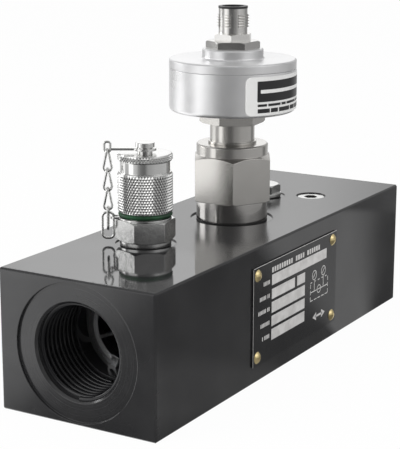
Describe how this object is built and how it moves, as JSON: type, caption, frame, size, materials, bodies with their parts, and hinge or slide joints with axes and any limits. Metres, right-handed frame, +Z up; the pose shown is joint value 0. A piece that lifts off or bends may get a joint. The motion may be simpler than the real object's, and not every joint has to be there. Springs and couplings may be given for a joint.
{
  "type": "turbine flow meter",
  "caption": "In-line turbine flow meter in a drilled black block with a screw-in pickup head, a capped pressure test point on a chain, plugs and a side nameplate.",
  "frame": {"origin": "centre of the block's underside", "axes": "+X along the flow line, +Z up, -Y the long side with the nameplate"},
  "size_m": [0.19, 0.0637, 0.13],
  "materials": {
    "black_anodised": "satin black anodised",
    "machined_steel": "machined",
    "bearing_carbide": "ground",
    "spring_steel": "bright spring steel",
    "rotor_steel": "machined",
    "stainless": "brushed stainless",
    "pale_aluminium": "satin clear anodised",
    "black_rubber": "moulded",
    "green_rubber": "moulded",
    "copper_winding": "lacquered copper",
    "magnet_alloy": "sintered",
    "green_board": "solder mask",
    "satin_label": "satin foil",
    "nickel": "nickel plated brass",
    "black_plastic": "moulded",
    "gold_pins": "gold plated",
    "plated_steel": "bright zinc plated",
    "seat_plastic": "turned",
    "nameplate_black": "printed black",
    "brass_rivet": "bright"
  },
  "bodies": {
    "meter": {"meter_block": "black_anodised", "inlet_straightener": "machined_steel", "outlet_straightener": "machined_steel", "inlet_bearing_bush": "bearing_carbide", "outlet_bearing_bush": "bearing_carbide", "inlet_retaining_clip": "spring_steel", "outlet_retaining_clip": "spring_steel", "sleeve_seal": "black_rubber", "pickup_sleeve": "stainless", "probe_seal": "black_rubber", "union_nut": "stainless", "pickup_probe": "stainless", "pickup_coil": "copper_winding", "pole_piece": "rotor_steel", "pickup_magnet": "magnet_alloy", "head_lock_nut": "stainless", "head_housing": "pale_aluminium", "head_inner_nut": "machined_steel", "circuit_board": "green_board", "board_screws": "machined_steel", "lid_seal": "black_rubber", "head_lid": "pale_aluminium", "head_label": "satin_label", "connector_lock_nut": "nickel", "connector_body": "nickel", "connector_insert": "black_plastic", "connector_pins": "gold_pins", "test_point_seal": "black_rubber", "test_point_body": "plated_steel", "valve_seat": "seat_plastic", "valve_spring": "spring_steel", "dust_ring": "green_rubber", "chain_strap": "plated_steel", "temperature_seal": "black_rubber", "temperature_plug": "plated_steel", "sunk_plug": "plated_steel", "nameplate": "nameplate_black", "nameplate_rivets": "brass_rivet"},
    "turbine": {"turbine_rotor": "rotor_steel", "rotor_shaft": "bearing_carbide"},
    "cap_tether": {"cap_tab": "plated_steel", "chain_link_1": "plated_steel", "chain_link_2": "plated_steel", "chain_link_3": "plated_steel", "chain_link_4": "plated_steel"},
    "cap": {"dust_cap": "plated_steel", "cap_seal": "black_rubber", "cap_stud": "plated_steel"},
    "end_link": {"chain_end_link": "plated_steel"},
    "poppet": {"valve_poppet": "machined_steel"}
  },
  "joints": [
    {"name": "rotor_spin", "type": "hinge", "parent": "meter", "child": "turbine", "pos_m": [0.008, 0, 0.025], "axis": [1, 0, 0], "continuous": true},
    {"name": "cap_lift", "type": "slide", "parent": "meter", "child": "cap_tether", "axis": [0, 0, 1], "range_m": [0, 0.01]},
    {"name": "cap_turn", "type": "hinge", "parent": "cap_tether", "child": "cap", "pos_m": [-0.0424, 0.0065, 0.0617], "axis": [0, 0, 1], "range_deg": [0, 1800]},
    {"name": "end_link_slide", "type": "slide", "parent": "meter", "child": "end_link", "axis": [0, 0, 1], "range_m": [0, 0.006]},
    {"name": "poppet_press", "type": "slide", "parent": "meter", "child": "poppet", "axis": [0, 0, -1], "range_m": [0, 0.002], "stiffness_N_per_m": 1000, "springref_m": -0.001, "deforming": ["valve_spring"]}
  ],
  "couplings": [
    {"joint": "cap_lift", "follows": "cap_turn", "m_per_rad": 0.0003183},
    {"joint": "end_link_slide", "follows": "cap_turn", "m_per_rad": 0.00019098}
  ]
}
